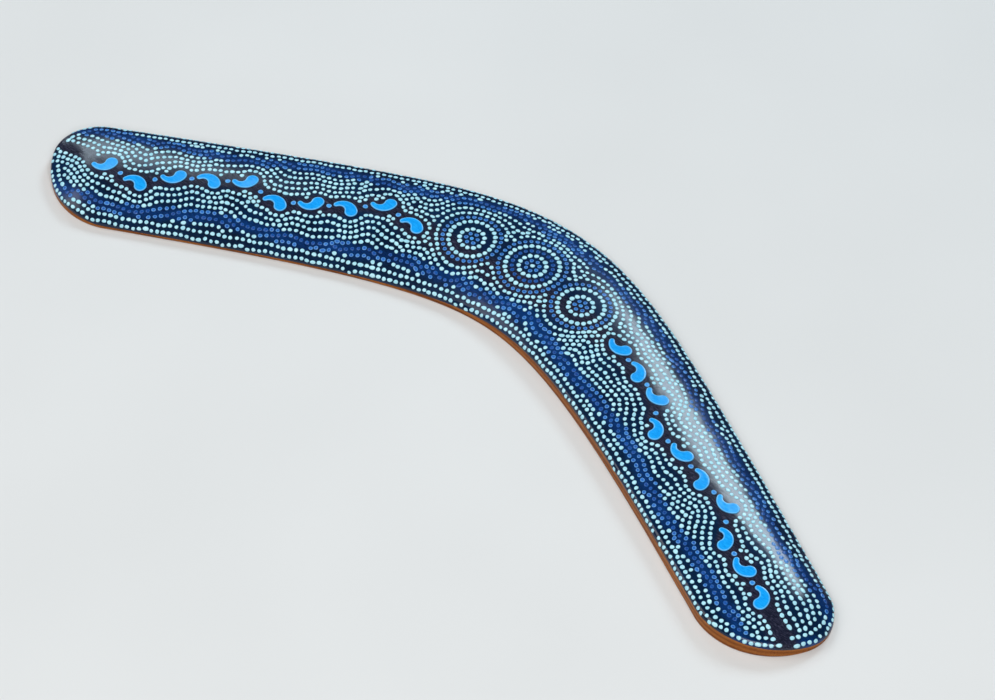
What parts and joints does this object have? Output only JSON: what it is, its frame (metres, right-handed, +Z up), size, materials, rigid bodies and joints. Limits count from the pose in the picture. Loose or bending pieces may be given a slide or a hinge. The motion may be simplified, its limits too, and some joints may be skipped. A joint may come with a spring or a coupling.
{
  "type": "boomerang",
  "caption": "Two-arm flat-bottomed hardwood boomerang with a domed airfoil face, rounded tips, a dark painted upper side and raised blue paint marks.",
  "frame": {"origin": "on the flat underside, on the blade's centre line at the middle of the elbow", "axes": "+X along the span from the left tip to the right tip, +Y towards the outside of the bend, +Z up through the painted face"},
  "size_m": [0.254, 0.08, 0.0073],
  "materials": {
    "hardwood": "sealed, satin",
    "ground_paint": "glossy lacquer over dark paint",
    "bright_blue_paint": "glossy lacquer over bright blue paint",
    "pale_dot_paint": "glossy lacquer over pale aqua paint",
    "mid_blue_dot_paint": "glossy lacquer over mid blue paint",
    "deep_blue_dot_paint": "glossy lacquer over deep blue paint"
  },
  "bodies": {
    "root": {"hardwood_blade": "hardwood", "ground_coat": "ground_paint", "trail_marks": "bright_blue_paint"}
  },
  "joints": []
}
